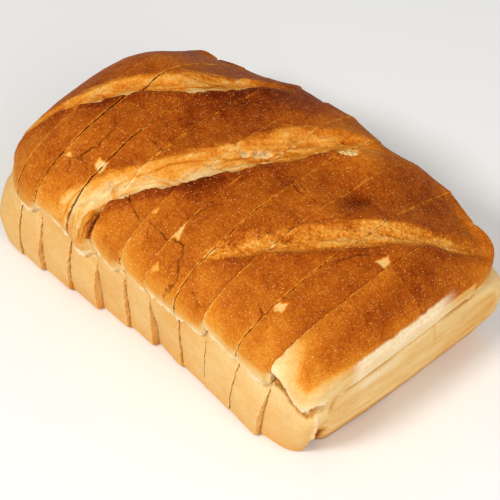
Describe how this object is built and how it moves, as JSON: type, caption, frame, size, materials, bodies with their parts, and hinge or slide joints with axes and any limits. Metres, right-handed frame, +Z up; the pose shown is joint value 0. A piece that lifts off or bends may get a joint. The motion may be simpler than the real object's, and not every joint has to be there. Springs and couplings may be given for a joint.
{
  "type": "sliced white tin loaf",
  "caption": "White tin loaf with a slashed, domed crust over tapered tin-shaped walls, cut in upright slices that still stand together as a whole loaf.",
  "frame": {"origin": "middle of the loaf's outline at the height of its flat base", "axes": "+X along the loaf towards the thick heel, +Z up, the long side with the torn slash end faces -Y"},
  "size_m": [0.1932, 0.1202, 0.084],
  "materials": {
    "crust": "matt baked crust, golden brown on the dome and straw coloured on the walls"
  },
  "bodies": {
    "root": {"heel_far": "crust", "slice_01": "crust", "slice_02": "crust", "slice_03": "crust", "slice_04": "crust", "slice_05": "crust", "slice_06": "crust", "slice_07": "crust", "slice_08": "crust", "slice_09": "crust", "heel_near": "crust"}
  },
  "joints": []
}
